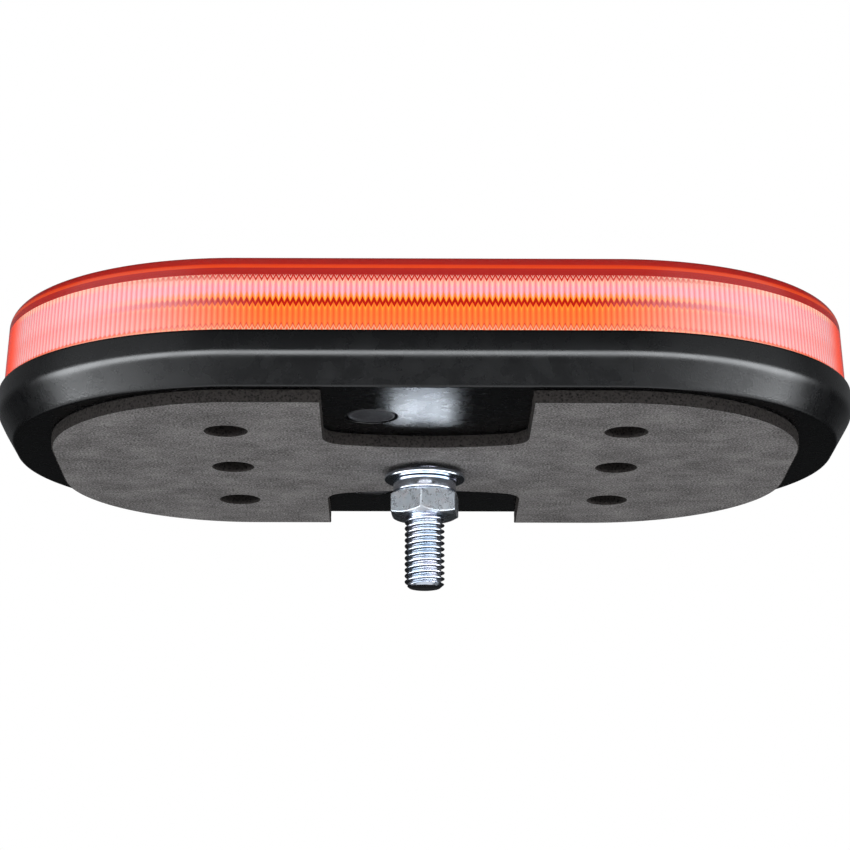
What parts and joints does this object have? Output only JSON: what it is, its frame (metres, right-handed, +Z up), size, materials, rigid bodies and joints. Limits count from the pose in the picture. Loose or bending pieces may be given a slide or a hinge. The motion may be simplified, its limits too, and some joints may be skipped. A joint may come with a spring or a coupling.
{
  "type": "led warning beacon",
  "caption": "Low oblong amber LED warning beacon with a fluted lens, black base, foam pad and one central mounting bolt with nut and washers.",
  "frame": {"origin": "on the mounting bolt's axis, at the lower face of the foam pad, where the beacon meets the roof", "axes": "+Z up out of the roof through the lens, +X along the long side, +Y across it, away from the vent plug's side"},
  "size_m": [0.2098, 0.1308, 0.0641],
  "materials": {
    "housing": "fine textured black moulding",
    "lens": "clear amber polycarbonate with vertical flutes",
    "rubber": "black elastomer",
    "foam": "closed-cell sponge, dark grey",
    "zinc": "bright bluish zinc plating",
    "steel": "plain zinc plating",
    "plug": "satin black moulding",
    "tray": "pressed sheet",
    "led_board": "white solder mask",
    "optic": "clear moulded acrylic",
    "driver_board": "green solder mask",
    "lead": "red insulated wire",
    "capacitor": "drawn can with a sleeve",
    "terminal": "white moulded connector",
    "chip": "black moulded package"
  },
  "bodies": {
    "housing": {"base_housing": "housing", "bolt_seal_ring": "rubber", "cable_entry_plug": "plug", "capacitor_1": "capacitor", "capacitor_2": "capacitor", "controller_chip": "chip", "driver_board": "driver_board", "driver_screw_1": "steel", "driver_screw_2": "steel", "driver_screw_3": "steel", "driver_screw_4": "steel", "foam_pad": "foam", "inductor": "chip", "led_board_front": "led_board", "led_board_left": "led_board", "led_board_rear": "led_board", "led_board_right": "led_board", "led_lead_front": "lead", "led_lead_left": "lead", "led_lead_rear": "lead", "led_lead_right": "lead", "led_optic_front_1": "optic", "led_optic_front_2": "optic", "led_optic_front_3": "optic", "led_optic_front_4": "optic", "led_optic_left_1": "optic", "led_optic_left_2": "optic", "led_optic_left_3": "optic", "led_optic_left_4": "optic", "led_optic_rear_1": "optic", "led_optic_rear_2": "optic", "led_optic_rear_3": "optic", "led_optic_rear_4": "optic", "led_optic_right_1": "optic", "led_optic_right_2": "optic", "led_optic_right_3": "optic", "led_optic_right_4": "optic", "led_tray": "tray", "lens_cover": "lens", "lens_gasket": "rubber", "mounting_bolt": "zinc", "power_transistor_1": "chip", "power_transistor_2": "chip", "reinforcement_plate": "steel", "terminal_block": "terminal", "tray_screw_1": "steel", "tray_screw_2": "steel", "tray_screw_3": "steel", "tray_screw_4": "steel", "tray_screw_5": "steel", "tray_screw_6": "steel", "vent_plug": "plug"},
    "washers": {"flat_washer": "zinc", "spring_washer": "zinc"},
    "nut": {"hex_nut": "zinc"}
  },
  "joints": [
    {"name": "nut_travel", "type": "slide", "parent": "housing", "child": "washers", "axis": [0, 0, 1], "range_m": [-0.0173, 0.0009]},
    {"name": "nut_turn", "type": "hinge", "parent": "washers", "child": "nut", "pos_m": [0, 0, -0.0088], "axis": [0, 0, 1], "range_deg": [-4154.08, 216.11]}
  ],
  "couplings": [
    {"joint": "nut_turn", "follows": "nut_travel", "rad_per_m": 4188.8}
  ]
}
